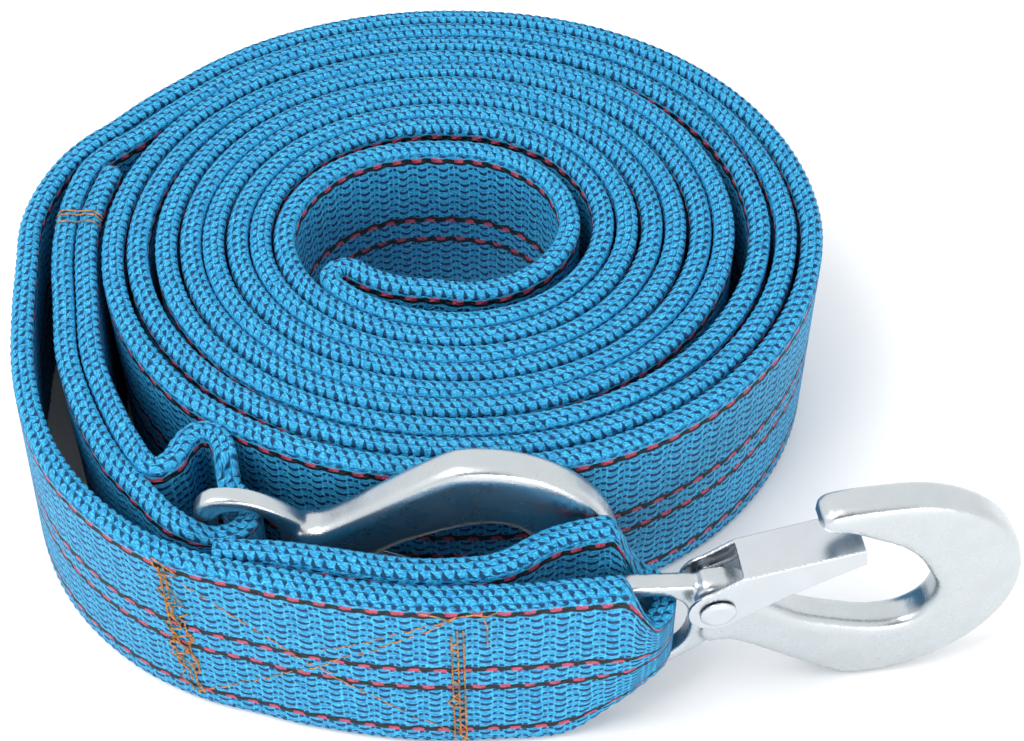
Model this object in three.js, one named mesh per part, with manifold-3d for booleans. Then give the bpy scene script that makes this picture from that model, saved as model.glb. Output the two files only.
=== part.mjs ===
// Tow strap: one long band of woven webbing, doubled at its middle and rolled on edge, with a forged
// latch hook in the sewn loop at each end. Millimetres, +Z up; the roll stands on its lower edge.
// The band is three solids end to end: the roll, and the free stretch to each hook.
import * as THREE from 'three';
import { mergeVertices } from 'three/addons/utils/BufferGeometryUtils.js';
import Module from 'manifold-3d';

const wasm = await Module();
wasm.setup();

// Clearance between neighbouring pieces
const GAP = 0.3;

// Webbing: width, thickness, and how much thicker it lies in the sewn lap at the front
const WEB_WIDTH = 50;
const WEB_THICK = 4.4;
const LAP_EXTRA = 1.2;
const ROUTE_SPACING = 4;

// Roll: two strands wound anticlockwise, seen from above, from the fold at the middle of the strap
const FOLD_ANGLE = 221;
const ROLL_END = 1940;
const ROLL_STEP = 10;
const GROOVE_DEPTH = 2.5;
const INNER_RADIUS = { mean: 24.4, right: 2.85, oval: 2.0 };
const LAYER_PITCH = { mean: 5.125, right: 0.115, oval: 0.19 };

// Slack between the layers: angle along the strand, extra radius
const SLACK_FIRST = [
  [221, -1.5], [275, -4.9], [360, -2.1], [446, -3.3], [500, -1.5], [548, 0], [1560, 0], [1628, 1.4],
  [1715, 0.6], [1800, 3.1], [1886, 0.3], [1940, 0.6],
];
const SLACK_SECOND = [
  [221, 0], [1355, 0.3], [1440, 2.6], [1526, 0], [1628, 1.7], [1665, 2.4], [1715, 1.0], [1800, 3.4],
  [1886, 0.4], [1940, 0.8],
];

// The first strand leaves the roll, goes round the left hook's eye, and is sewn back on itself.
// Angles and radii about the middle of the roll first, then plan points.
const LEFT_LEAVES = [[149, 73.3], [157, 76], [161, 78.8], [166, 81.4], [173, 82], [180, 82], [188, 82]];
const LEFT_LOOP = [
  [-79, -24], [-76.4, -38], [-73.6, -46.3], [-67.8, -58.8], [-62, -68.3], [-57.8, -73], [-53.8, -77.4],
  [-50.3, -81.2], [-46.8, -83.4], [-41.5, -83.9], [-36.8, -82.6], [-34.2, -79], [-35.4, -75],
  [-38.6, -71.8], [-39.6, -68.5], [-40.4, -64], [-42.4, -60.6], [-45, -59.6], [-47.6, -60.8],
  [-49.2, -63.6], [-51, -67.5], [-54.2, -69.3], [-56.9, -67], [-59.3, -63.3], [-62.6, -57.6],
  [-68.9, -44.3], [-71.5, -36.4], [-74, -23.3], [-76.2, -10],
];
const LEFT_TAIL = [[180, 76.9], [173, 76.5], [166, 76.2]];

// The second strand laps round the front and does the same at the right hook
const RIGHT_LEAVES = [
  [149, 79.2], [157, 82], [161, 84.6], [166, 87], [173, 88.9], [180, 89.8], [188, 89.6], [197, 91.3],
  [206, 94.6], [214, 97.9], [221, 100.6], [228, 102.3], [236, 103.3], [243, 102.9], [251, 101.2],
  [259, 100.6], [267, 101.1], [273, 101.6], [279, 102.3],
];
const RIGHT_LOOP = [
  [22, -100.8], [29, -100], [36, -99.2], [42, -98.2], [46.9, -95.5], [49, -91.2], [48, -86.8],
  [44.4, -83.8], [38.6, -84], [34, -85], [30, -86.1], [26.5, -87.4], [23, -89.4], [19, -92],
  [14.5, -93.9], [8, -94.7], [0, -94.9], [-10, -93.6], [-20, -91.8], [-30, -90.3], [-40, -89.6],
];

// Where the outer lap's lower edge leans out: angle, distance at the floor
const LAP_LEAN = [[160, 0], [180, 5], [192, 6], [204, 3], [216, 2.3], [240, 0]];

const UPRIGHT = [[0, 0]];

// Squeeze of the webbing in an eye: where it starts and is full along the hook, and its reach across
const RIGHT_SQUEEZE = { from: -1, to: 6.5 };
const LEFT_SQUEEZE = { from: -6, to: 3 };
const SQUEEZE_SIDE = 9;
const SQUEEZE_FADE = 3;
const SQUEEZED_WIDTH = 17;

// Forged hook, in its own flat: u runs from the eye bar to the nose, w from the belly to the tip
const HOOK_HEIGHT = 58;
const BOWL = { u: 54.5, w: 29, radius: 29 };
const BODY_THICK = 8;
const BODY_BEVEL = { across: 2, inPlane: 2.4 };
const EYE_THICK = 4.4;
const EYE_BEVEL = 0.9;
const EYE_MIDDLE = 24.5;

// Body from the boss down the neck, along the belly, round the nose to the tip, and back inside the bowl.
// The points of the bowl are about its middle.
const NECK_BELLY = [[18.6, 18.6], [22, 19], [26.7, 16.5], [32.6, 12.2], [38.3, 7.9]];
const BOWL_BELLY = [[-11.5, -24.5], [-6.7, -27.6]];
const BOWL_TIP = [
  [-6.9, 29], [-12.1, 28.6], [-15.1, 27.6], [-16.1, 25.6], [-15.5, 23.6], [-13.1, 22.3], [-9.5, 21.5],
];
const BOWL_INSIDE = [
  [-5.1, 19], [1.5, 15], [6.2, 10], [9, 5], [11.5, -1], [10.4, -7.2], [6.2, -11], [-0.1, -11.5],
  [-6.9, -9.4],
];
const NECK_INSIDE = [[38.6, 23.6], [35.2, 26.1], [31.4, 29.2], [28.4, 32.2], [26.2, 35.8], [22.9, 38.4]];
const BODY_BOSS = [[19, 39], [16, 38.4], [14.7, 35.4], [15.7, 31], [16.8, 26], [16.6, 21.6]];

const EYE_OUTSIDE = [
  [-2.3, 30], [-2.3, 18], [-1.7, 13], [0.6, 10.2], [5, 9.5], [9.4, 10.4], [14, 13], [18, 16.4],
  [21, 20.4], [22, 27], [20.6, 33.4], [17, 37.2], [12, 38.2], [7, 38.9], [2.4, 39.5], [-1, 38.7],
  [-2.3, 35.6],
];
const EYE_HOLE = [
  [2.3, 30], [2.3, 19], [3, 14.9], [6, 13.5], [10, 14.2], [13.3, 17.2], [14.8, 22], [14.6, 27.6],
  [12.9, 32], [9.4, 34.9], [5.2, 35.5], [2.8, 34.4],
];

// Rivet and latch
const RIVET = { u: 19.4, w: 32.5, radius: 2, headRadius: 3.75, headThick: 0.9 };
const EAR_RADIUS = 6;
const SHEET = 0.9;
const ROOF = { start: [24, 42.5], end: [BOWL.u - 6.5, BOWL.w + 18.5] };
const FLANK = [[33.5, 35], [BOWL.u - 5.7, BOWL.w + 14]];

// Torsion spring beside the boss
const WIRE_RADIUS = 0.4;
const SPRING_RADIUS = 3.1;
const SPRING_TURNS = 1.25;
const POCKET_DEPTH = 2.3;

// The hooks where they lie: eye bar in plan, heading, lift of the lowest point, which way up
const RIGHT_PLACE = hookPlace([39.6, -91.3], 8.2, 0, false, RIGHT_SQUEEZE);
const LEFT_PLACE = hookPlace([-43.2, -78.7], 1.2, 3.4, true, LEFT_SQUEEZE);

const FINISH = {
  webbing: { color: 0x1d86cf, roughness: 0.85, metalness: 0 },
  forging: { color: 0xb9c2cc, roughness: 0.38, metalness: 0.9 },
  sheet: { color: 0xcbd1d6, roughness: 0.3, metalness: 0.9 },
  wire: { color: 0x8f969c, roughness: 0.35, metalness: 1 },
};

function radians(degrees) {
  return degrees * Math.PI / 180;
}

function smoothStep(x) {
  return THREE.MathUtils.smoothstep(x, 0, 1);
}

// Straight-line value from a table of [x, y] rows
function lookUp(table, x) {
  const next = table.findIndex((row) => row[0] >= x);
  if (next === 0) return table[0][1];
  if (next < 0) return table[table.length - 1][1];
  const [x0, y0] = table[next - 1];
  const [x1, y1] = table[next];
  return y0 + (y1 - y0) * (x - x0) / (x1 - x0);
}

function fromPolar([degrees, radius]) {
  return [radius * Math.cos(radians(degrees)), radius * Math.sin(radians(degrees))];
}

function hookPlace(bar, headingDegrees, lift, bellyUp, squeeze) {
  const heading = headingDegrees * Math.PI / 180;
  return {
    bar: new THREE.Vector2(...bar),
    along: new THREE.Vector2(Math.cos(heading), Math.sin(heading)),
    across: new THREE.Vector2(-Math.sin(heading), Math.cos(heading)),
    heading,
    lift,
    bellyUp,
    squeeze,
    eyeHeight: lift + (bellyUp ? HOOK_HEIGHT - EYE_MIDDLE : EYE_MIDDLE),
  };
}

// Booleans work on closed meshes with shared vertices
function toSolid(geometry) {
  const bare = geometry.clone();
  bare.deleteAttribute('normal');
  bare.deleteAttribute('uv');
  const merged = mergeVertices(bare, 1e-4);
  return new wasm.Manifold(new wasm.Mesh({
    numProp: 3,
    vertProperties: new Float32Array(merged.attributes.position.array),
    triVerts: new Uint32Array(merged.index.array),
  }));
}

function toGeometry(solid) {
  const mesh = solid.getMesh();
  const geometry = new THREE.BufferGeometry();
  geometry.setAttribute('position', new THREE.BufferAttribute(new Float32Array(mesh.vertProperties), 3));
  geometry.setIndex(new THREE.BufferAttribute(new Uint32Array(mesh.triVerts), 1));
  geometry.computeVertexNormals();
  return geometry;
}

function namedMesh(name, geometry, finish) {
  const mesh = new THREE.Mesh(geometry, new THREE.MeshStandardMaterial(finish));
  mesh.name = name;
  return mesh;
}

// Roll: the radius grows by one layer in half a turn, because two strands are wound together
function ovalValue(terms, angle) {
  return terms.mean + terms.right * Math.cos(angle) + terms.oval * Math.cos(2 * angle);
}

function rollPoint(degrees, strand, slack) {
  const angle = radians(degrees);
  const layers = strand + (degrees - FOLD_ANGLE) / 180;
  const radius = ovalValue(INNER_RADIUS, angle) + layers * ovalValue(LAYER_PITCH, angle)
    + lookUp(slack, degrees);
  return fromPolar([degrees, radius]);
}

function rollStrand(strand, slack) {
  const points = [rollPoint(FOLD_ANGLE, strand, slack)];
  const first = ROLL_STEP * Math.ceil((FOLD_ANGLE + ROLL_STEP / 2) / ROLL_STEP);
  for (let degrees = first; degrees <= ROLL_END; degrees += ROLL_STEP) {
    points.push(rollPoint(degrees, strand, slack));
  }
  return points;
}

// Half circle at the middle of the strap, from the outer strand's start to the inner one's
function foldPoints(outer, inner) {
  const centre = [(outer[0] + inner[0]) / 2, (outer[1] + inner[1]) / 2];
  const radius = Math.hypot(outer[0] - inner[0], outer[1] - inner[1]) / 2;
  const points = [];
  for (let step = 1; step < 6; step += 1) {
    const [x, y] = fromPolar([FOLD_ANGLE - 30 * step, radius]);
    points.push([centre[0] + x, centre[1] + y]);
  }
  return points;
}

// Smooth run through hand-set plan points, starting where the roll ends
function routePoints(start, route) {
  const plan = [start, ...route].map(([x, y]) => new THREE.Vector3(x, y, 0));
  const curve = new THREE.CatmullRomCurve3(plan, false, 'centripetal');
  curve.arcLengthDivisions = 2000;
  const points = curve.getSpacedPoints(Math.round(curve.getLength() / ROUTE_SPACING));
  return points.map((p) => [p.x, p.y]);
}

// Station on the strap's centreline: plan point, lean of its lower edge, and the hook it may pass through
function stations(points, place, lean) {
  return points.map(([x, y]) => {
    const degrees = (THREE.MathUtils.radToDeg(Math.atan2(y, x)) + 360) % 360;
    const outer = Math.hypot(x, y) > 86;
    return { at: new THREE.Vector2(x, y), lean: outer ? lookUp(lean, degrees) : 0, place };
  });
}

// A free stretch starts a clearance past the end of the roll
function stretchStart(strand, slack) {
  const past = THREE.MathUtils.radToDeg(2 * GAP / Math.hypot(...rollPoint(ROLL_END, strand, slack)));
  return rollPoint(ROLL_END + past, strand, slack);
}

function leftStretch() {
  const route = [...LEFT_LEAVES.map(fromPolar), ...LEFT_LOOP, ...LEFT_TAIL.map(fromPolar)];
  return stations(routePoints(stretchStart(0, SLACK_FIRST), route), LEFT_PLACE, UPRIGHT);
}

function rightStretch() {
  const route = [...RIGHT_LEAVES.map(fromPolar), ...RIGHT_LOOP];
  return stations(routePoints(stretchStart(1, SLACK_SECOND), route), RIGHT_PLACE, LAP_LEAN).reverse();
}

function bandThickness(station) {
  const { x, y } = station.at;
  const inLap = smoothStep((x + 36) / 12) * smoothStep((-y - 78) / 4);
  return WEB_THICK + LAP_EXTRA * inLap * (1 - squeezeAt(station));
}

// How far the band is narrowed at a station, from 0 to 1
function squeezeAt(station) {
  if (!station.place) return 0;
  const fromBar = station.at.clone().sub(station.place.bar);
  const u = fromBar.dot(station.place.along);
  const v = Math.abs(fromBar.dot(station.place.across));
  const { from, to } = station.place.squeeze;
  const along = smoothStep((u - from) / (to - from));
  return along * smoothStep((SQUEEZE_SIDE + SQUEEZE_FADE - v) / SQUEEZE_FADE);
}

// The band is a long box whose cross-sections are set along its centreline
function bandGeometry(line) {
  const last = line.length - 1;
  const geometry = new THREE.BoxGeometry(last, 1, 1, last, 1, 1);
  const position = geometry.attributes.position;
  for (let i = 0; i < position.count; i += 1) {
    const index = Math.round(position.getX(i) + last / 2);
    const station = line[index];
    const before = line[Math.max(0, index - 1)].at;
    const after = line[Math.min(last, index + 1)].at;
    const along = after.clone().sub(before).normalize();
    const side = position.getY(i) * bandThickness(station);
    const share = position.getZ(i) + 0.5;
    const outward = station.at.clone().normalize().multiplyScalar(station.lean * (1 - share));
    const full = share * WEB_WIDTH;
    const amount = squeezeAt(station);
    const inEye = station.place ? station.place.eyeHeight + (share - 0.5) * SQUEEZED_WIDTH : full;
    position.setXYZ(
      i,
      station.at.x - along.y * side + outward.x,
      station.at.y + along.x * side + outward.y,
      full + (inEye - full) * amount,
    );
  }
  geometry.computeVertexNormals();
  return geometry;
}

// The roll: both strands and the fold, standing out of one core, so that the turns show on its ends.
// The innermost turn is free of the core.
function makeRollGeometry() {
  const first = rollStrand(0, SLACK_FIRST);
  const second = rollStrand(1, SLACK_SECOND);
  const line = [...second.toReversed(), ...foldPoints(second[0], first[0]), ...first];
  const turn = 1 + 360 / ROLL_STEP;
  const toVector = ([x, y]) => new THREE.Vector2(x, y);
  const core = new THREE.Shape(second.slice(-turn).map(toVector));
  core.holes.push(new THREE.Path(second.slice(0, turn).map(toVector)));
  const depth = WEB_WIDTH - 2 * GROOVE_DEPTH;
  const slab = new THREE.ExtrudeGeometry(core, { depth, steps: 1, bevelEnabled: false });
  slab.translate(0, 0, GROOVE_DEPTH);
  return toGeometry(toSolid(bandGeometry(stations(line, null, UPRIGHT))).add(toSolid(slab)));
}

// Closed smooth outline through [u, w] points, evenly divided
function smoothLoop(points, spacing) {
  const corners = points.map(([u, w]) => new THREE.Vector3(u, w, 0));
  const curve = new THREE.CatmullRomCurve3(corners, true, 'centripetal');
  curve.arcLengthDivisions = 2000;
  const loop = curve.getSpacedPoints(Math.round(curve.getLength() / spacing)).slice(0, -1);
  return withoutStraights(loop.map((p) => new THREE.Vector2(p.x, p.y)));
}

// A point in the middle of a straight side adds nothing to the outline
function withoutStraights(loop) {
  return loop.filter((point, i) => {
    const before = loop.at(i - 1);
    const after = loop[(i + 1) % loop.length];
    return Math.abs(point.clone().sub(before).cross(after.clone().sub(point))) > 1e-4;
  });
}

function arcPoints({ u, w, radius }, from, to, step) {
  const points = [];
  for (let degrees = from; degrees <= to; degrees += step) {
    const [x, y] = fromPolar([degrees, radius]);
    points.push([u + x, w + y]);
  }
  return points;
}

// Bevelled plate lying in the hook's flat, centred on v = 0
function bevelledPlate(shape, thick, bevel) {
  const flat = thick - 2 * bevel.across;
  const geometry = new THREE.ExtrudeGeometry(shape, {
    depth: flat,
    steps: 1,
    curveSegments: 1,
    bevelEnabled: true,
    bevelSegments: 2,
    bevelThickness: bevel.across,
    bevelSize: bevel.inPlane,
    bevelOffset: -bevel.inPlane,
  });
  geometry.translate(0, 0, -flat / 2);
  geometry.rotateX(Math.PI / 2);
  return toSolid(geometry);
}

function pinAcross(radius) {
  const geometry = new THREE.CylinderGeometry(radius, radius, 3 * BODY_THICK, 24);
  geometry.translate(RIVET.u, 0, RIVET.w);
  return toSolid(geometry);
}

// Recess beside the boss for the spring, open towards the latch's roof
function springPocket() {
  const geometry = new THREE.BoxGeometry(20, 2 * POCKET_DEPTH, 20);
  geometry.translate(RIVET.u + 5, BODY_THICK / 2, RIVET.w + 5);
  return toSolid(geometry);
}

function makeHookGeometry() {
  const aroundBowl = (points) => points.map(([u, w]) => [BOWL.u + u, BOWL.w + w]);
  const bowl = [
    ...aroundBowl(BOWL_BELLY), ...arcPoints(BOWL, -98, 92, 10), ...aroundBowl(BOWL_TIP),
    ...aroundBowl(BOWL_INSIDE),
  ];
  const body = new THREE.Shape(smoothLoop([...NECK_BELLY, ...bowl, ...NECK_INSIDE, ...BODY_BOSS], 2.2));
  const eye = new THREE.Shape(smoothLoop(EYE_OUTSIDE, 2));
  eye.holes.push(new THREE.Path(smoothLoop(EYE_HOLE, 2)));
  const forging = bevelledPlate(body, BODY_THICK, BODY_BEVEL)
    .add(bevelledPlate(eye, EYE_THICK, { across: EYE_BEVEL, inPlane: EYE_BEVEL }));
  return toGeometry(forging.subtract(pinAcross(RIVET.radius)).subtract(springPocket()));
}

// Flat plate with the given [u, w] outline, centred on v = 0
function plate(points, width) {
  const shape = new THREE.Shape(points.map(([u, w]) => new THREE.Vector2(u, w)));
  const geometry = new THREE.ExtrudeGeometry(shape, { depth: width, steps: 1, bevelEnabled: false });
  geometry.translate(0, 0, -width / 2);
  geometry.rotateX(Math.PI / 2);
  return toSolid(geometry);
}

// Latch: bent sheet channel whose two ears straddle the boss, with its roof under the hook's tip
function makeLatchGeometry() {
  const inside = BODY_THICK + 2 * GAP;
  const ear = arcPoints({ u: RIVET.u, w: RIVET.w, radius: EAR_RADIUS }, 105, 295, 10);
  const outline = [...ear, ...FLANK, ROOF.end, ROOF.start];
  const slope = (ROOF.end[1] - ROOF.start[1]) / (ROOF.end[0] - ROOF.start[0]);
  const underRoof = (u) => ROOF.start[1] - SHEET + slope * (u - ROOF.start[0]);
  const front = ROOF.start[0];
  const room = [[0, 0], [60, 0], [60, underRoof(60)], [front, underRoof(front)], [front, 60], [0, 60]];
  const channel = plate(outline, inside + 2 * SHEET).subtract(plate(room, inside));
  return toGeometry(channel.subtract(pinAcross(RIVET.radius + GAP)));
}

// Rivet: pressed into the boss, with a low head outside each ear
function makeRivetGeometry() {
  const reach = BODY_THICK / 2 + SHEET + 2 * GAP;
  const top = reach + RIVET.headThick;
  const rim = RIVET.headRadius;
  const profile = [
    [0, -top], [rim - 1, -top], [rim, -reach - 0.4], [rim, -reach], [RIVET.radius - 0.05, -reach],
    [RIVET.radius - 0.05, reach], [rim, reach], [rim, reach + 0.4], [rim - 1, top], [0, top],
  ];
  const geometry = new THREE.LatheGeometry(profile.map(([r, h]) => new THREE.Vector2(r, h)), 24);
  geometry.translate(RIVET.u, 0, RIVET.w);
  return toGeometry(toSolid(geometry));
}

// Torsion spring: turns round the rivet beside the boss, one leg under the latch's roof
function makeSpringGeometry() {
  const start = BODY_THICK / 2 - POCKET_DEPTH + GAP + WIRE_RADIUS;
  const pitch = 2 * WIRE_RADIUS + 0.1;
  const last = 100;
  const steps = 12 * SPRING_TURNS;
  const points = [];
  for (let step = 0; step <= steps; step += 1) {
    const turn = step / 12;
    const [x, y] = fromPolar([last + 360 * (SPRING_TURNS - turn), SPRING_RADIUS]);
    points.push(new THREE.Vector3(RIVET.u + x, start + pitch * turn, RIVET.w + y));
  }
  const side = start + pitch * SPRING_TURNS;
  const below = SHEET + GAP + WIRE_RADIUS + 0.1;
  points.push(new THREE.Vector3(ROOF.start[0] - 0.6, side, RIVET.w + 5.4));
  points.push(new THREE.Vector3(ROOF.start[0] + 2, side, ROOF.start[1] - below));
  points.push(new THREE.Vector3(ROOF.start[0] + 6, side, ROOF.start[1] - below + 0.8));
  const path = new THREE.CatmullRomCurve3(points, false, 'centripetal');
  const section = new THREE.Shape().absarc(0, 0, WIRE_RADIUS, 0, 2 * Math.PI, false);
  return new THREE.ExtrudeGeometry(section, {
    steps: 56,
    curveSegments: 4,
    bevelEnabled: false,
    extrudePath: path,
  });
}

// One hook with its latch, rivet and spring, set where it lies
function makeHook(side, place) {
  const flat = new THREE.Group();
  flat.add(namedMesh(`hook_${side}`, makeHookGeometry(), FINISH.forging));
  flat.add(namedMesh(`latch_${side}`, makeLatchGeometry(), FINISH.sheet));
  flat.add(namedMesh(`latch_rivet_${side}`, makeRivetGeometry(), FINISH.forging));
  flat.add(namedMesh(`latch_spring_${side}`, makeSpringGeometry(), FINISH.wire));
  flat.rotation.x = place.bellyUp ? Math.PI : 0;
  const placed = new THREE.Group();
  placed.add(flat);
  placed.rotation.z = place.heading;
  placed.position.set(place.bar.x, place.bar.y, place.lift + (place.bellyUp ? HOOK_HEIGHT : 0));
  return placed;
}

const strapAndHooks = new THREE.Group();
strapAndHooks.add(namedMesh('webbing_roll', makeRollGeometry(), FINISH.webbing));
strapAndHooks.add(namedMesh('webbing_left_end', bandGeometry(leftStretch()), FINISH.webbing));
strapAndHooks.add(namedMesh('webbing_right_end', bandGeometry(rightStretch()), FINISH.webbing));
strapAndHooks.add(makeHook('right', RIGHT_PLACE));
strapAndHooks.add(makeHook('left', LEFT_PLACE));
strapAndHooks.updateMatrixWorld(true);

// The origin is under the middle of the object's box
const extent = new THREE.Box3().setFromObject(strapAndHooks, true);
const middle = extent.getCenter(new THREE.Vector3());
strapAndHooks.position.set(-middle.x, -middle.y, -extent.min.z);

const group = new THREE.Group();
group.add(strapAndHooks);
group.updateMatrixWorld(true);

export default group;
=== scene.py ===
import math

import bpy
import numpy as np
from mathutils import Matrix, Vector


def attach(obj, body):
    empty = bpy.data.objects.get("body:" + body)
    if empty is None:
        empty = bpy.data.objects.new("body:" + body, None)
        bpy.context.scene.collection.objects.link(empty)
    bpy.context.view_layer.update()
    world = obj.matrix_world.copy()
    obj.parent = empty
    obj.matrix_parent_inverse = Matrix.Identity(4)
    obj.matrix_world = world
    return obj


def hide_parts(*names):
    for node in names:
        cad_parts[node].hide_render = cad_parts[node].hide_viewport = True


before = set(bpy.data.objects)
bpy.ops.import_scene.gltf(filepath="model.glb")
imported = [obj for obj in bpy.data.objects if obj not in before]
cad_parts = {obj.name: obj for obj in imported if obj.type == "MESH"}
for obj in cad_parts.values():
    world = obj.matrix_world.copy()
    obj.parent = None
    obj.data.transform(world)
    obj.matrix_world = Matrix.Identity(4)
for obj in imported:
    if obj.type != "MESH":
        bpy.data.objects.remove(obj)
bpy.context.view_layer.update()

MM = 0.001

# The roll's middle in the frame; every plan point below is about it, in millimetres
ROLL_MIDDLE = np.array([-12.738, 14.269])

# Webbing: size, thickness gained in the front lap, and the toothed yarns on its edges
WEB_WIDTH = 50.0
WEB_THICK = 4.75
LAP_EXTRA = 0.95
TOOTH_PITCH = 2.3
STATION = TOOTH_PITCH / 2
TOOTH_VALLEY = -0.8
EDGE_RISE = 0.17
EDGE_OUT = 0.14
SHOULDER = 0.9

# Roll: two strands wound together from the fold at the middle of the strap
FOLD_ANGLE = 221.0
FOLD_STEP = 10
ROLL_END = 1940.0
FIRST_LAYER = (24.4, 2.85, 2.0)
LAYER_PITCH = (5.125, 0.115, 0.19)
SLACK_FIRST = [
    (221, -1.5), (275, -4.9), (360, -2.1), (446, -3.3), (500, -1.5), (548, 0), (1560, 0), (1628, 1.4),
    (1715, 0.6), (1800, 3.1), (1886, 0.3), (1940, 0.6),
]
SLACK_SECOND = [
    (221, 0), (1355, 0.3), (1440, 2.6), (1526, 0), (1628, 1.7), (1665, 2.4), (1715, 1.0), (1800, 3.4),
    (1886, 0.4), (1940, 0.8),
]
CURVE_STEPS = 24

# Where the strands leave the roll: angle and radius, then plan points round each hook's eye and back
LEFT_LEAVES = [(149, 73.3), (157, 76), (161, 78.8), (166, 81.4), (173, 82), (180, 82), (188, 82)]
LEFT_LOOP = [
    (-79, -24), (-76.4, -38), (-73.6, -46.3), (-67.8, -58.8), (-62, -68.3), (-57.8, -73), (-53.8, -77.4),
    (-50.3, -81.2), (-46.8, -83.4), (-41.5, -83.9), (-36.8, -82.6), (-34.2, -79), (-35.4, -75),
    (-38.6, -71.8), (-39.6, -68.5), (-40.4, -64), (-42.4, -60.6), (-45, -59.6), (-47.6, -60.8),
    (-49.2, -63.6), (-51, -67.5), (-54.2, -69.3), (-56.9, -67), (-59.3, -63.3), (-62.6, -57.6),
    (-68.9, -44.3), (-71.5, -36.4), (-74, -23.3), (-76.2, -10),
]
LEFT_TAIL = [(180, 76.9), (173, 76.5), (166, 76.2)]
RIGHT_LEAVES = [
    (149, 79.2), (157, 82), (161, 84.6), (166, 87), (173, 88.9), (180, 89.8), (188, 89.6), (197, 91.3),
    (206, 94.6), (214, 97.9), (221, 100.6), (228, 102.3), (236, 103.3), (243, 102.9), (251, 101.2),
    (259, 100.6), (267, 101.1), (273, 101.6), (279, 102.3),
]
RIGHT_LOOP = [
    (22, -100.8), (29, -100), (36, -99.2), (42, -98.2), (46.9, -95.5), (49, -91.2), (48, -86.8),
    (44.4, -83.8), (38.6, -84), (34, -85), (30, -86.1), (26.5, -87.4), (23, -89.4), (19, -92),
    (14.5, -93.9), (8, -94.7), (0, -94.9), (-10, -93.6), (-20, -91.8), (-30, -90.3), (-40, -89.6),
]

# Front lap: where its plies thicken, and how far its foot leans out by angle, beyond a radius
LAP_LEFT = -36.0
LAP_LEFT_FADE = 12.0
LAP_FRONT = 78.0
LAP_FRONT_FADE = 4.0
LAP_RADIUS = 86.0
LAP_LEAN = [(160, 0), (180, 5), (192, 6), (204, 3), (216, 2.3), (240, 0)]

# Hooks, in plan, with the distance over which the webbing draws in toward the eye
HOOK_HEIGHT = 58.0
EYE_MIDDLE = 24.5
SQUEEZED_WIDTH = 17.0
EYE_REACH = 12.0
EYE_FADE = 3.0
HOOKS = {
    "right": {"bar": (39.6, -91.3), "heading": 8.2, "lift": 0.0, "belly_up": False,
              "squeeze": (-1, 6.5), "lower_lead": 13},
    "left": {"bar": (-43.2, -78.7), "heading": 1.2, "lift": 3.4, "belly_up": True,
             "squeeze": (-6, 3), "lower_lead": 0},
}

# Parts of the strap's course
ROLL, LEFT_END, RIGHT_END = range(3)

# Seams: spacing and length of a stitch, pitch of upright threads, and thread radii
STITCH = 3.2
STITCH_LONG = 2.5
UPRIGHT_PITCH = 2.3
BACK_PITCH = 0.8
STITCH_RADIUS = 0.15
LOOSE_RADIUS = 0.16
PINCH_RADIUS = 0.17
BACK_RADIUS = 0.2
UPRIGHT_RADIUS = 0.21

# Right seams: plan points of both bars, their threads, the crossing lines and the loose ends
NEAR_BAR = (8, -101.2)
FAR_BAR = (-47, -90.2)
NEAR_LINES = [(-0.9, 1.5, 44, 0.1), (-0.5, 3, 43, 0.3), (0.3, 1, 43.5, 0.35), (0.9, 2, 42, 0.1),
              (0, 1, 20, 0.7)]
FAR_LINES = [(-2.6, 20, 49.5, 0.2), (-2.2, 12, 49, 0.5), (-1.6, 30, 49.5, 0.3), (0.8, 4, 34, 0.3),
             (1.5, 3, 30, 0.5), (-0.6, 8, 40, 0.9)]
LOOP_HEIGHTS = (4, 12, 18, 27, 34, 42)
LOOP_STEPS = ((0, 0.2), (3, 0.8), (5, 0.9), (7, 0.2))
CROSS_LINES = [(4, 0.97, 44), (46, 0.97, 5), (46.5, 0.5, 30)]
LOOSE_ENDS = [
    [(0, 46.5, 0.2), (3, 48, 0.8), (6, 47.5, 1.0), (8.5, 48.6, 0.8)],
    [(5, 48, 0.6), (6, 44, 1.0), (6.2, 39, 0.8), (5.6, 36, 0.3)],
    [(-1, 45, 0.2), (-4, 47.6, 0.9), (-7, 48.2, 0.6)],
]

# Left seams: three threads pinched over the upper edge, and a bar behind the hook
PINCH_PLACES = [(-82, 3.0), (-82, 1.4), (-82, -0.4)]
PINCH_ACROSS = (2.6, -7.9)
PINCH_HEIGHTS = [48.2, 50.1, 50.5, 50.4, 50.1, 50.4, 50.5, 50.2, 48.2]
PINCH_WANDER = 0.08
BACK_BAR = (-66, -62.5)

# Woven colours, linear; the lightest blue is partly fibre tone and partly painted highlight, and the two
# darkest are painted shade in the grooves and pits
FIBRE_AND_HIGHLIGHT_BLUE = (0.065, 0.52, 0.80)
BLUE = (0.005, 0.185, 0.44)
TEAL = (0.006, 0.26, 0.42)
GROOVE_SHADE_BLUE = (0.001, 0.032, 0.125)
PIT_SHADE_BLUE = (0.001, 0.036, 0.10)
BLACK = (0.006, 0.007, 0.012)
PINK = (0.50, 0.075, 0.14)

# Thread colours, linear
ORANGE = (0.62, 0.25, 0.055)
TAN = (0.24, 0.10, 0.035)
SOILED = (0.16, 0.13, 0.07)

# Weave: length of a rib, height of a row, rows of loops on an edge, and the cords along the strap
RIB = 5.0
ROW = 2.25
EDGE_ROW = 1.62
TOP_EDGE = (48.0, 48.7)
FOOT_EDGE = (2.0, 1.3)
CORDS = [(46.6, 1), (28.0, -1), (21.2, 1), (5.8, -1)]
CORD_SIDE = (0.95, 0.62)
CORD_WAVE = 0.25
DASH_SIDE = (0.72, 0.42)
DASH_SHIFT = 0.62

# How fast the weave's slow and quick unevenness change, per millimetre
SLOW = 0.11
QUICK = 0.45

# Camera: plan point in millimetres, height in metres, focal length in image widths, degrees down
CAMERA_PLAN = (18.34, -321.39)
CAMERA_HEIGHT = 0.365
CAMERA_DOWN = 48.7
SENSOR = 36
FOCAL = 2000 / 1024

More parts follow.
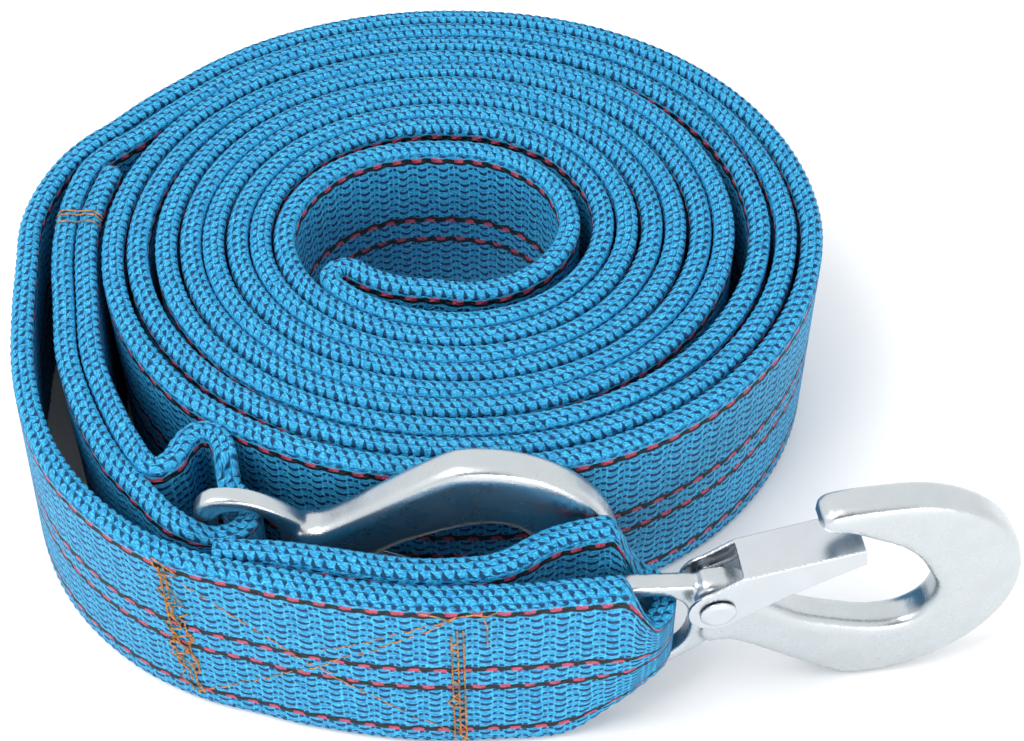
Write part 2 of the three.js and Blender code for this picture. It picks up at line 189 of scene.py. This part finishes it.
# Lights: name, place, size and power; all face a point just above the floor
LIGHTS = [
    ("key", (-0.45, -0.25, 0.9), (0.6, 0.6), 6),
    ("front", (0.4, -0.95, 0.35), (0.7, 0.4), 4),
]
LIT_POINT = (0, 0, 0.02)

# Floor, and the white tent: way to the dark round the lens, where it fades, and its two strengths
FLOOR_SIZE = 6
FLOOR_DROP = 0.0003
FLOOR_WHITE = (0.92, 0.92, 0.92)
LENS_WAY = (0.02, -0.66, 0.751)
LENS_FADE = (0.90, 0.975, 1.15, 0.01)


def smooth(x):
    """Smooth step from 0 to 1."""
    t = np.clip(x, 0, 1)
    return t * t * (3 - 2 * t)


def look_up(table, x):
    """Straight-line value from a table of (x, y) rows."""
    xs, ys = zip(*table)
    return np.interp(x, xs, ys)


def polar(degrees, radius):
    a = np.radians(degrees)
    return np.stack([radius * np.cos(a), radius * np.sin(a)], axis=-1)


def oval(terms, a):
    """A mean value with a once-round and a twice-round wave."""
    mean, once, twice = terms
    return mean + once * np.cos(a) + twice * np.cos(2 * a)


def spline(points):
    """Centripetal curve through plan points."""
    p = np.asarray(points, float)
    p = np.vstack([2 * p[0] - p[1], p, 2 * p[-1] - p[-2]])
    t = np.linspace(0, 1, CURVE_STEPS, endpoint=False)[:, None]
    out = []
    for p0, p1, p2, p3 in zip(p[:-3], p[1:-2], p[2:-1], p[3:]):
        d0, d1, d2 = (max(np.linalg.norm(b - a) ** 0.5, 1e-6) for a, b in ((p0, p1), (p1, p2), (p2, p3)))
        m1 = ((p1 - p0) / d0 - (p2 - p0) / (d0 + d1) + (p2 - p1) / d1) * d1
        m2 = ((p2 - p1) / d1 - (p3 - p1) / (d1 + d2) + (p3 - p2) / d2) * d1
        a = 2 * p1 - 2 * p2 + m1 + m2
        b = -3 * p1 + 3 * p2 - 2 * m1 - m2
        out.append(a * t ** 3 + b * t ** 2 + m1 * t + p1)
    out.append(p[-2:-1])
    return np.vstack(out)


def roll_strand(strand, slack):
    """One strand in the roll; the radius grows by a layer in half a turn."""
    degrees = np.arange(FOLD_ANGLE, ROLL_END + 0.1, 1.0)
    a = np.radians(degrees)
    layers = strand + (degrees - FOLD_ANGLE) / 180
    return polar(degrees, oval(FIRST_LAYER, a) + layers * oval(LAYER_PITCH, a) + look_up(slack, degrees))


def fold(outer, inner):
    """Half circle at the middle of the strap."""
    centre = (outer + inner) / 2
    radius = np.linalg.norm(outer - inner) / 2
    return centre + polar(FOLD_ANGLE - np.arange(FOLD_STEP, 180, FOLD_STEP), radius)


def hook_axes(side):
    """Bar centre, heading and crossways direction of a hook, in plan."""
    a = math.radians(HOOKS[side]["heading"])
    along = np.array([math.cos(a), math.sin(a)])
    return np.array(HOOKS[side]["bar"]), along, np.array([-along[1], along[0]])


def squeeze(points, side, lower):
    """How far the webbing's lower or upper edge is drawn in at its hook's eye, from 0 to 1."""
    bar, along, across = hook_axes(side)
    u = (points - bar) @ along
    v = np.abs((points - bar) @ across)
    start, full = HOOKS[side]["squeeze"]
    if lower:
        start -= HOOKS[side]["lower_lead"]
    return smooth((u - start) / (full - start)) * smooth((EYE_REACH - v) / EYE_FADE)


def eye_height(side):
    hook = HOOKS[side]
    return hook["lift"] + (HOOK_HEIGHT - EYE_MIDDLE if hook["belly_up"] else EYE_MIDDLE)


def strap_line():
    """Stations along the strap: plan point, distance, lean, squeeze of both edges and eye height."""
    first = roll_strand(0, SLACK_FIRST)
    second = roll_strand(1, SLACK_SECOND)
    left = spline([first[-1]] + [polar(*row) for row in LEFT_LEAVES] + LEFT_LOOP
                  + [polar(*row) for row in LEFT_TAIL])
    right = spline([second[-1]] + [polar(*row) for row in RIGHT_LEAVES] + RIGHT_LOOP)
    parts = [(right[::-1], RIGHT_END), (second[::-1][1:], ROLL), (fold(second[0], first[0]), ROLL),
             (first, ROLL), (left[1:], LEFT_END)]
    zone = np.concatenate([np.full(len(p), k) for p, k in parts])
    points = np.vstack([p for p, _ in parts])
    far = np.concatenate([[0], np.cumsum(np.linalg.norm(np.diff(points, axis=0), axis=1))])
    count = int(far[-1] / STATION)
    s = np.linspace(0, far[-1], count)
    at = np.stack([np.interp(s, far, points[:, k]) for k in (0, 1)], axis=1)
    zone = zone[np.searchsorted(far, s).clip(0, len(far) - 1)]
    degrees = np.degrees(np.arctan2(at[:, 1], at[:, 0])) % 360
    in_lap = (zone == RIGHT_END) & (np.linalg.norm(at, axis=1) > LAP_RADIUS)
    lean = np.where(in_lap, look_up(LAP_LEAN, degrees), 0)
    tight = [np.where(zone == RIGHT_END, squeeze(at, "right", lower),
                      np.where(zone == LEFT_END, squeeze(at, "left", lower), 0)) for lower in (False, True)]
    eye = np.where(zone == LEFT_END, eye_height("left"), eye_height("right"))
    return at, s, lean, tight, eye


def strap_section():
    """Cross-section of the webbing: share of half the thickness, height, and which row of teeth."""
    crown = [(-1, 47.6, 0), (-0.95, 48.9, 1), (-0.58, 49.75, 1), (0, 49.8, 2), (0.58, 49.75, 1),
             (0.95, 48.9, 1), (1, 47.6, 0)]
    side = [(1, h, 0) for h in (38, 28, 20, 10)]
    foot = [(share, WEB_WIDTH - h, row) for share, h, row in crown[::-1]]
    back = [(-1, h, 0) for h in (10, 20, 28, 38)]
    return np.array(crown + side + foot + back, float)


class Strap:
    """The strap's course, and points on it by distance, height and offset from its middle."""

    def __init__(self):
        self.at, self.s, self.lean, (self.tight, self.low_tight), self.eye = strap_line()
        along = np.gradient(self.at, axis=0)
        along /= np.linalg.norm(along, axis=1)[:, None]
        self.side = np.stack([-along[:, 1], along[:, 0]], axis=1)
        in_lap = (smooth((self.at[:, 0] - LAP_LEFT) / LAP_LEFT_FADE)
                  * smooth((-self.at[:, 1] - LAP_FRONT) / LAP_FRONT_FADE))
        self.half = (WEB_THICK + LAP_EXTRA * in_lap * (1 - self.tight)) / 2

    def place(self, index, h, w):
        """Points in metres for stations, heights and offsets, all arrays of one shape."""
        at, side = self.at[index], self.side[index]
        in_eye = self.eye[index] + (h / WEB_WIDTH - 0.5) * SQUEEZED_WIDTH
        tight = self.tight[index] + (self.low_tight - self.tight)[index] * (1 - h / WEB_WIDTH)
        z = h + (in_eye - h) * tight
        outward = at / np.linalg.norm(at, axis=-1, keepdims=True)
        plan = at + side * w[..., None] + outward * (self.lean[index] * (1 - h / WEB_WIDTH))[..., None]
        return np.concatenate([plan + ROLL_MIDDLE, z[..., None]], axis=-1) * MM

    def station(self, x, y):
        """Nearest station to a plan point."""
        return int(np.argmin(np.linalg.norm(self.at - np.array([x, y]), axis=1)))

    def front(self, station):
        """Which side of the middle faces away from the roll's middle."""
        return 1 if self.side[station] @ self.at[station] > 0 else -1


def strap_mesh(strap):
    """The whole strap as one closed mesh with woven edges."""
    section = strap_section()
    share, height, row = section.T
    n, m = len(strap.at), len(section)
    order = np.arange(n)[:, None]
    tooth = np.where((order + row[None, :]) % 2 == 0, 1.0, TOOTH_VALLEY) * (row[None, :] > 0)
    up = np.where(height > WEB_WIDTH / 2, 1.0, -1.0)[None, :]
    rise = up * tooth * EDGE_RISE * (np.abs(share) < SHOULDER)[None, :]
    out = np.sign(share)[None, :] * tooth * EDGE_OUT * (np.abs(share) > SHOULDER)[None, :]
    w = strap.half[:, None] * share[None, :] + out
    index = np.repeat(order, m, axis=1)
    verts = strap.place(index, height[None, :] + rise, w).reshape(-1, 3)
    i, j = np.meshgrid(np.arange(n - 1), np.arange(m), indexing="ij")
    k = (j + 1) % m
    quads = np.stack([i * m + j, i * m + k, (i + 1) * m + k, (i + 1) * m + j], axis=-1).reshape(-1, 4)
    faces = [tuple(q) for q in quads.tolist()]
    faces += [tuple(range(m))[::-1], tuple(range((n - 1) * m, n * m))]
    mesh = bpy.data.meshes.new("webbing")
    mesh.from_pydata(verts.tolist(), [], faces)
    mesh.validate()
    face_uv = np.stack([np.repeat(strap.s, m), np.tile(height, n)], axis=1)
    edge_uv = np.stack([np.repeat(strap.s, m), w.reshape(-1)], axis=1)
    corner = np.empty(len(mesh.loops), int)
    mesh.loops.foreach_get("vertex_index", corner)
    for name, uv in (("face", face_uv), ("edge", edge_uv)):
        mesh.uv_layers.new(name=name).data.foreach_set("uv", uv[corner].reshape(-1))
    mesh.shade_smooth()
    return mesh


def thread_run(strap, station, face, points):
    """Thread through (distance from the station, height, lift) points on one face, as 3-D points."""
    reach, h, lift = np.array(points, float).T
    index = np.round(station + reach / STATION).astype(int)
    return strap.place(index, h, face * (strap.half[index] + lift))


def bar_tack(strap, station, face, bottom, top, half_width, pitch, rng):
    """Dense upright stitches in two uneven lines, with short crossings."""
    count = int((top - bottom) / pitch)
    drift = rng.uniform(-0.5, 0.5, count + 1).cumsum() * 0.25
    points = []
    for k in range(count):
        h = bottom + pitch * k + rng.uniform(-0.3, 0.3)
        reach = drift[k] + half_width * (1 if (k // 2) % 2 else -1) + rng.uniform(-0.35, 0.35)
        points.append((reach, h, rng.uniform(-0.05, 0.15)))
        points.append((reach + rng.uniform(-0.3, 0.3), h + 0.7 * pitch, rng.uniform(0.25, 0.45)))
    return thread_run(strap, station, face, points)


def running_stitch(strap, station, face, start, end, rng):
    """Stitches in a line between two (distance, height) points."""
    a, b = np.array(start, float), np.array(end, float)
    length = np.linalg.norm(b - a)
    runs = []
    for k in range(int(length / STITCH)):
        marks = (k * STITCH, k * STITCH + 0.5 * STITCH_LONG, k * STITCH + STITCH_LONG)
        spots = [a + (b - a) * t / length for t in marks]
        wander = rng.uniform(-0.25, 0.25)
        points = [(p[0], p[1] + wander, lift) for p, lift in zip(spots, (-0.1, 0.22, -0.1))]
        runs.append(thread_run(strap, station, face, points))
    return runs


def tube(points, radius, sides=6):
    """Vertices and faces of a round thread through points."""
    p = np.array(points)
    along = np.gradient(p, axis=0)
    along /= np.linalg.norm(along, axis=1)[:, None] + 1e-12
    odd_way = np.array([0.123, 0.21, 0.97])
    first = np.cross(along, odd_way)
    first /= np.linalg.norm(first, axis=1)[:, None] + 1e-12
    second = np.cross(along, first)
    a = np.arange(sides) * 2 * np.pi / sides
    ring = first[:, None, :] * np.cos(a)[None, :, None] + second[:, None, :] * np.sin(a)[None, :, None]
    verts = (p[:, None, :] + ring * radius).reshape(-1, 3)
    end = (len(p) - 1) * sides
    pairs = [(j, (j + 1) % sides) for j in range(sides)]
    faces = [(i + j, i + k, i + sides + k, i + sides + j) for i in range(0, end, sides) for j, k in pairs]
    faces += [tuple(range(sides))[::-1], tuple(range(end, end + sides))]
    return verts, faces


def thread_mesh(name, runs):
    """All threads of a seam, from (points, radius) runs, as one mesh."""
    verts, faces = [], []
    for run, radius in runs:
        marks = np.linspace(0, len(run) - 1, 3 * len(run) - 2)
        fine = np.stack([np.interp(marks, np.arange(len(run)), run[:, k]) for k in range(3)], axis=1)
        v, f = tube(fine, radius * MM)
        base = sum(len(block) for block in verts)
        verts.append(v)
        faces += [tuple(base + i for i in face) for face in f]
    mesh = bpy.data.meshes.new(name)
    mesh.from_pydata(np.vstack(verts).tolist(), [], faces)
    mesh.validate()
    mesh.shade_smooth()
    return mesh


def upright_lines(strap, station, face, lines, rng):
    """Near-parallel threads up the webbing: (distance, bottom, top, sway) rows."""
    runs = []
    for reach, bottom, top, sway in lines:
        start = station + round(reach / STATION)
        runs.append((bar_tack(strap, start, face, bottom, top, sway, UPRIGHT_PITCH, rng), UPRIGHT_RADIUS))
    return runs


def turned(rows, way):
    """Rows with their distance counted the other way where way is -1."""
    return [(way * reach, *rest) for reach, *rest in rows]


def right_seams(strap):
    """Seams of the right end: two bars and a cross on the front ply."""
    rng = np.random.default_rng(5)
    bar, far_bar = strap.station(*NEAR_BAR), strap.station(*FAR_BAR)
    face = strap.front(bar)
    toward = 1 if strap.at[bar + 5][0] > strap.at[bar][0] else -1
    runs = upright_lines(strap, bar, face, NEAR_LINES, rng)
    runs += upright_lines(strap, far_bar, face, turned(FAR_LINES, toward), rng)
    for h in LOOP_HEIGHTS:
        loop = [(reach, h + up, lift) for reach, (up, lift) in zip(rng.uniform(-3, 3, 4), LOOP_STEPS)]
        runs.append((thread_run(strap, far_bar, face, loop), LOOSE_RADIUS))
    span = (far_bar - bar) * STATION
    for low, share, high in CROSS_LINES:
        stitches = running_stitch(strap, bar, face, (0, low), (span * share, high), rng)
        runs += [(run, STITCH_RADIUS) for run in stitches]
    for loose in LOOSE_ENDS:
        runs.append((thread_run(strap, bar, face, turned(loose, toward)), STITCH_RADIUS))
    return thread_mesh("right_seams", runs)


def left_seams(strap):
    """Pinched seam over the edge of the left end, and the bar behind its hook."""
    rng = np.random.default_rng(8)
    count = len(PINCH_HEIGHTS)
    runs = []
    for place in PINCH_PLACES:
        station = strap.station(*place)
        w = np.linspace(*PINCH_ACROSS, count) * strap.front(station)
        h = np.array(PINCH_HEIGHTS) + rng.uniform(-PINCH_WANDER, PINCH_WANDER, count)
        runs.append((strap.place(np.full(count, station), h, w), PINCH_RADIUS))
    station = strap.station(*BACK_BAR)
    back = bar_tack(strap, station, -strap.front(station), 4, 47, 1.0, BACK_PITCH, rng)
    runs.append((back, BACK_RADIUS))
    return thread_mesh("left_seams", runs)


class Nodes:
    """Short names for building a node material."""

    def __init__(self, name):
        self.material = bpy.data.materials.new(name)
        self.material.use_nodes = True
        self.tree = self.material.node_tree
        self.shader = self.tree.nodes["Principled BSDF"]

    def link(self, value, socket):
        if isinstance(value, bpy.types.NodeSocket):
            self.tree.links.new(value, socket)
        else:
            socket.default_value = value

    def colour(self, value, socket):
        """Link a colour, or set one given as three numbers."""
        self.link(value if isinstance(value, bpy.types.NodeSocket) else (*value, 1), socket)

    def math(self, operation, a, b=0.0, c=0.0):
        node = self.tree.nodes.new("ShaderNodeMath")
        node.operation = operation
        for value, socket in zip((a, b, c), node.inputs):
            self.link(value, socket)
        return node.outputs[0]

    def ramp(self, x, low, high, to_low=0.0, to_high=1.0):
        """Smooth change from to_low at low to to_high at high."""
        node = self.tree.nodes.new("ShaderNodeMapRange")
        node.interpolation_type = "SMOOTHSTEP"
        for value, socket in zip((x, low, high, to_low, to_high), node.inputs):
            self.link(value, socket)
        return node.outputs[0]

    def mix(self, amount, a, b):
        node = self.tree.nodes.new("ShaderNodeMix")
        node.data_type = "RGBA"
        self.link(amount, node.inputs[0])
        self.colour(a, node.inputs[6])
        self.colour(b, node.inputs[7])
        return node.outputs[2]

    def noise(self, vector, scale, detail=2.0, roughness=0.5):
        node = self.tree.nodes.new("ShaderNodeTexNoise")
        node.inputs["Scale"].default_value = scale
        node.inputs["Detail"].default_value = detail
        node.inputs["Roughness"].default_value = roughness
        self.link(vector, node.inputs["Vector"])
        return node.outputs["Fac"]

    def uv(self, name):
        node = self.tree.nodes.new("ShaderNodeUVMap")
        node.uv_map = name
        split = self.tree.nodes.new("ShaderNodeSeparateXYZ")
        self.tree.links.new(node.outputs[0], split.inputs[0])
        return split.outputs[0], split.outputs[1]

    def vector(self, x, y, z=0.0):
        node = self.tree.nodes.new("ShaderNodeCombineXYZ")
        for value, socket in zip((x, y, z), node.inputs):
            self.link(value, socket)
        return node.outputs[0]

    def place(self):
        """Object coordinates."""
        return self.tree.nodes.new("ShaderNodeTexCoord").outputs["Object"]

    def bump(self, height, distance, strength):
        node = self.tree.nodes.new("ShaderNodeBump")
        node.inputs["Distance"].default_value = distance
        node.inputs["Strength"].default_value = strength
        self.link(height, node.inputs["Height"])
        return node.outputs[0]

    def finish(self, colour, roughness, normal=None, **constants):
        self.colour(colour, self.shader.inputs["Base Color"])
        self.link(roughness, self.shader.inputs["Roughness"])
        if normal is not None:
            self.link(normal, self.shader.inputs["Normal"])
        for name, value in constants.items():
            self.shader.inputs[name.replace("_", " ")].default_value = value
        return self.material


def face_weave(n, s, h):
    """Stacked short arcs, half a rib wide, with pairs of ticks between, and the lit lines between ribs."""
    ribs = n.math("DIVIDE", s, 0.5 * RIB)
    odd = n.math("MODULO", n.math("FLOOR", ribs), 2.0)
    x = n.math("MULTIPLY_ADD", n.math("FRACT", ribs), 2.0, -1.0)
    smile = n.math("MULTIPLY", n.math("MULTIPLY", x, x), n.math("MULTIPLY_ADD", odd, 0.9, -0.62))
    level = n.math("DIVIDE", n.math("ADD", h, smile), ROW)
    level = n.math("MULTIPLY_ADD", odd, 0.5, level)
    off = n.math("ABSOLUTE", n.math("SUBTRACT", n.math("FRACT", level), 0.5))
    groove = n.ramp(off, 0.24, 0.05)
    side = n.math("ABSOLUTE", x)
    whole = n.ramp(side, 1.0, 0.66)
    broken = n.math("MULTIPLY", n.ramp(side, 0.10, 0.30), n.ramp(side, 0.98, 0.70))
    part = n.math("MULTIPLY_ADD", odd, n.math("SUBTRACT", n.math("MULTIPLY", broken, 0.85), whole), whole)
    return n.math("MULTIPLY", groove, part), n.ramp(side, 0.74, 0.96)


def edge_weave(n, s, w):
    """Staggered rows of plump loops with a three-cornered pit beside each; 1 is a pit."""
    rows = n.math("DIVIDE", n.math("ADD", w, 2.5 * EDGE_ROW), EDGE_ROW)
    row = n.math("FLOOR", rows)
    y = n.math("FRACT", rows)
    along = n.math("MULTIPLY_ADD", row, 0.5, n.math("DIVIDE", s, TOOTH_PITCH))
    along = n.math("MULTIPLY_ADD", y, 0.30, along)
    x = n.math("ABSOLUTE", n.math("SUBTRACT", n.math("FRACT", along), 0.5))
    pit = n.ramp(n.math("MULTIPLY_ADD", y, 0.34, x), 0.33, 0.12)
    seam = n.math("MULTIPLY", n.ramp(y, 0.80, 0.98), n.ramp(x, 0.5, 0.2))
    return n.math("MAXIMUM", pit, n.math("MULTIPLY", seam, 0.6))


def cord_colours(n, colour, s, h, fibre):
    """The four black cords along the strap, with their pink dashes, over a colour."""
    wave = n.math("COSINE", n.math("MULTIPLY", s, 2 * math.pi / RIB))
    for level, way in CORDS:
        off = n.math("SUBTRACT", n.math("MULTIPLY_ADD", wave, -CORD_WAVE, h), level)
        cord = n.ramp(n.math("ABSOLUTE", off), *CORD_SIDE)
        swing = n.math("MULTIPLY", wave, -way)
        dash_off = n.math("ABSOLUTE", n.math("SUBTRACT", off, DASH_SHIFT * way))
        dash = n.math("MULTIPLY", n.ramp(dash_off, *DASH_SIDE), n.ramp(swing, 0.0, 0.3))
        colour = n.mix(cord, colour, BLACK)
        colour = n.mix(n.math("MULTIPLY", dash, n.ramp(fibre, 0.2, 0.5)), colour, PINK)
    return colour


def webbing_material():
    """Ribbed weave on the faces, rows of loops on the edges, and black cords with pink dashes."""
    n = Nodes("webbing")
    s, h = n.uv("face")
    _, w = n.uv("edge")
    slow = n.vector(n.math("MULTIPLY", s, SLOW), n.math("MULTIPLY", h, SLOW))
    drift = n.math("SUBTRACT", n.noise(slow, 1.0, 1.0), 0.5)
    quick = n.vector(*(n.math("MULTIPLY", value, QUICK) for value in (s, h, w)))
    shake = n.math("SUBTRACT", n.noise(quick, 1.0, 2.0), 0.5)
    s2 = n.math("MULTIPLY_ADD", shake, 1.1, n.math("MULTIPLY_ADD", drift, 1.2, s))
    h2 = n.math("MULTIPLY_ADD", shake, 0.7, n.math("MULTIPLY_ADD", drift, 0.9, h))
    w2 = n.math("MULTIPLY_ADD", shake, 0.9, w)
    face, lines = face_weave(n, s2, h2)
    loops = edge_weave(n, s2, w2)
    edge = n.math("MAXIMUM", n.ramp(h, *TOP_EDGE), n.ramp(h, *FOOT_EDGE))
    flat = n.math("SUBTRACT", 1.0, edge)
    shade = n.math("ADD", n.math("MULTIPLY", face, flat), n.math("MULTIPLY", loops, edge))
    across = n.math("MULTIPLY_ADD", w, 0.8, s)
    strand = n.vector(across, n.math("MULTIPLY", h, 2.4), n.math("MULTIPLY", w, 2.0))
    fibre = n.noise(strand, 1.5, 3.0, 0.7)
    # Partly fibre tone, partly painted highlight: fibres and the tops of loops and arcs lighten toward the
    # light blue, with painted highlight lines between the ribs
    glint = n.math("MULTIPLY_ADD", shade, -0.5, fibre)
    glint = n.math("MULTIPLY_ADD", n.math("MULTIPLY", lines, flat), 0.07, glint)
    colour = n.mix(n.ramp(glint, 0.40, 0.66), BLUE, FIBRE_AND_HIGHLIGHT_BLUE)
    teal = n.ramp(n.noise(quick, 1.6, 1.0), 0.50, 0.72)
    colour = n.mix(n.math("MULTIPLY", teal, 0.35), colour, TEAL)
    # Painted shade: the grooves between the face's arcs and the pits between edge loops darken toward the
    # two shade blues
    colour = n.mix(n.ramp(shade, 0.1, 0.9), colour, n.mix(edge, GROOVE_SHADE_BLUE, PIT_SHADE_BLUE))
    colour = cord_colours(n, colour, s2, h2, fibre)
    relief = n.math("MULTIPLY_ADD", fibre, 0.30, n.math("SUBTRACT", 1.0, shade))
    return n.finish(colour, 0.6, n.bump(relief, 0.0006, 0.85), Specular_IOR_Level=0.3)


def zinc_material(name, colour, grain, roughness):
    """Zinc plate over a forged or rolled surface."""
    n = Nodes(name)
    place = n.place()
    fine = n.noise(place, 2400, 3.0, 0.65)
    patch = n.noise(place, 170, 3.0, 0.6)
    pits = n.ramp(n.noise(place, 900, 2.0, 0.5), 0.70, 0.80)
    tint = n.mix(n.ramp(patch, 0.2, 0.85), colour, tuple(c * 0.93 for c in colour))
    tint = n.mix(n.math("MULTIPLY", pits, 0.3), tint, tuple(c * 0.6 for c in colour))
    rough = n.ramp(patch, 0.2, 0.85, roughness, roughness + 0.06)
    normal = n.bump(fine, 0.00004, grain)
    return n.finish(tint, rough, normal, Metallic=1.0)


def thread_material():
    """Twisted thread, orange to tan, soiled in places."""
    n = Nodes("thread")
    place = n.place()
    twist = n.noise(place, 1500)
    patch = n.noise(place, 210)
    colour = n.mix(n.ramp(twist, 0.3, 0.7), ORANGE, TAN)
    colour = n.mix(n.ramp(patch, 0.5, 0.62), colour, SOILED)
    return n.finish(colour, 0.6, n.bump(twist, 0.0002, 0.6))


def new_piece(name, mesh, material, body, slot, *replaced):
    piece = bpy.data.objects.new(name, mesh)
    bpy.context.scene.collection.objects.link(piece)
    mesh.materials.append(material)
    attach(piece, body)
    if replaced:
        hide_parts(*replaced)
    return piece


def make_camera():
    """Looks down at the roll from the front, as in the photograph."""
    data = bpy.data.cameras.new("camera")
    data.sensor_width = SENSOR
    data.lens = SENSOR * FOCAL
    camera = bpy.data.objects.new("camera", data)
    plan = (np.array(CAMERA_PLAN) + ROLL_MIDDLE) * MM
    camera.location = (plan[0], plan[1], CAMERA_HEIGHT)
    camera.rotation_euler = (math.radians(90 - CAMERA_DOWN), 0, 0)
    bpy.context.scene.collection.objects.link(camera)
    bpy.context.scene.camera = camera


def area_light(name, place, size, power):
    data = bpy.data.lights.new(name, "AREA")
    data.shape = "RECTANGLE"
    data.size, data.size_y = size
    data.energy = power
    light = bpy.data.objects.new(name, data)
    light.location = place
    light.rotation_euler = (Vector(LIT_POINT) - Vector(place)).to_track_quat("-Z", "Y").to_euler()
    bpy.context.scene.collection.objects.link(light)


def make_sky():
    """White tent, dark round the lens, which the metal's bevels show."""
    world = bpy.data.worlds.new("world")
    world.use_nodes = True
    tree = world.node_tree
    back = tree.nodes["Background"]
    place = tree.nodes.new("ShaderNodeTexCoord")
    toward = tree.nodes.new("ShaderNodeVectorMath")
    toward.operation = "DOT_PRODUCT"
    toward.inputs[1].default_value = LENS_WAY
    tree.links.new(place.outputs["Generated"], toward.inputs[0])
    fade = tree.nodes.new("ShaderNodeMapRange")
    for socket, value in zip(fade.inputs[1:5], LENS_FADE):
        socket.default_value = value
    tree.links.new(toward.outputs["Value"], fade.inputs[0])
    tree.links.new(fade.outputs[0], back.inputs[1])
    back.inputs[0].default_value = (1, 1, 1, 1)
    bpy.context.scene.world = world


def make_studio():
    """Plain pale floor under soft light."""
    bpy.ops.mesh.primitive_plane_add(size=FLOOR_SIZE, location=(0, 0, -FLOOR_DROP))
    floor = bpy.context.object
    floor.name = "floor"
    floor.data.materials.append(Nodes("floor").finish(FLOOR_WHITE, 0.9))
    make_sky()
    for row in LIGHTS:
        area_light(*row)
    bpy.context.scene.view_settings.view_transform = "Standard"


def round_over(node, voxel, passes):
    """Even small faces and eased edges on a CAD node."""
    grid = node.modifiers.new("even", "REMESH")
    grid.mode = "VOXEL"
    grid.voxel_size = voxel * MM
    grid.use_smooth_shade = True
    grid.adaptivity = 0.0
    ease = node.modifiers.new("ease", "SMOOTH")
    ease.factor = 0.5
    ease.iterations = passes


def dress(node, material):
    for holder in node.material_slots:
        holder.material = material


make_camera()
make_studio()
WEBBING = webbing_material()
THREAD = thread_material()
ZINC = zinc_material("zinc_forging", (0.56, 0.60, 0.625), 1.2, 0.25)
SHEET = zinc_material("zinc_sheet", (0.60, 0.64, 0.675), 0.25, 0.22)
WIRE = zinc_material("spring_wire", (0.45, 0.47, 0.5), 0.2, 0.3)

# Material, voxel size and smoothing passes of the rigid pieces at each end
RIGID = {"hook": (ZINC, 0.45, 9), "latch": (SHEET, 0.22, 4), "latch_rivet": (SHEET, 0.15, 5)}

course = Strap()
strap = new_piece("strap", strap_mesh(course), WEBBING, "strap", "webbing",
                  "webbing_roll", "webbing_left_end", "webbing_right_end")
new_piece("right_seams", right_seams(course), THREAD, "strap", "webbing")
new_piece("left_seams", left_seams(course), THREAD, "strap", "webbing")
for side in HOOKS:
    for kind, (material, voxel, passes) in RIGID.items():
        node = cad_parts[f"{kind}_{side}"]
        dress(node, material)
        round_over(node, voxel, passes)
    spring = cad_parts[f"latch_spring_{side}"]
    dress(spring, WIRE)
    spring.modifiers.new("round", "SUBSURF")
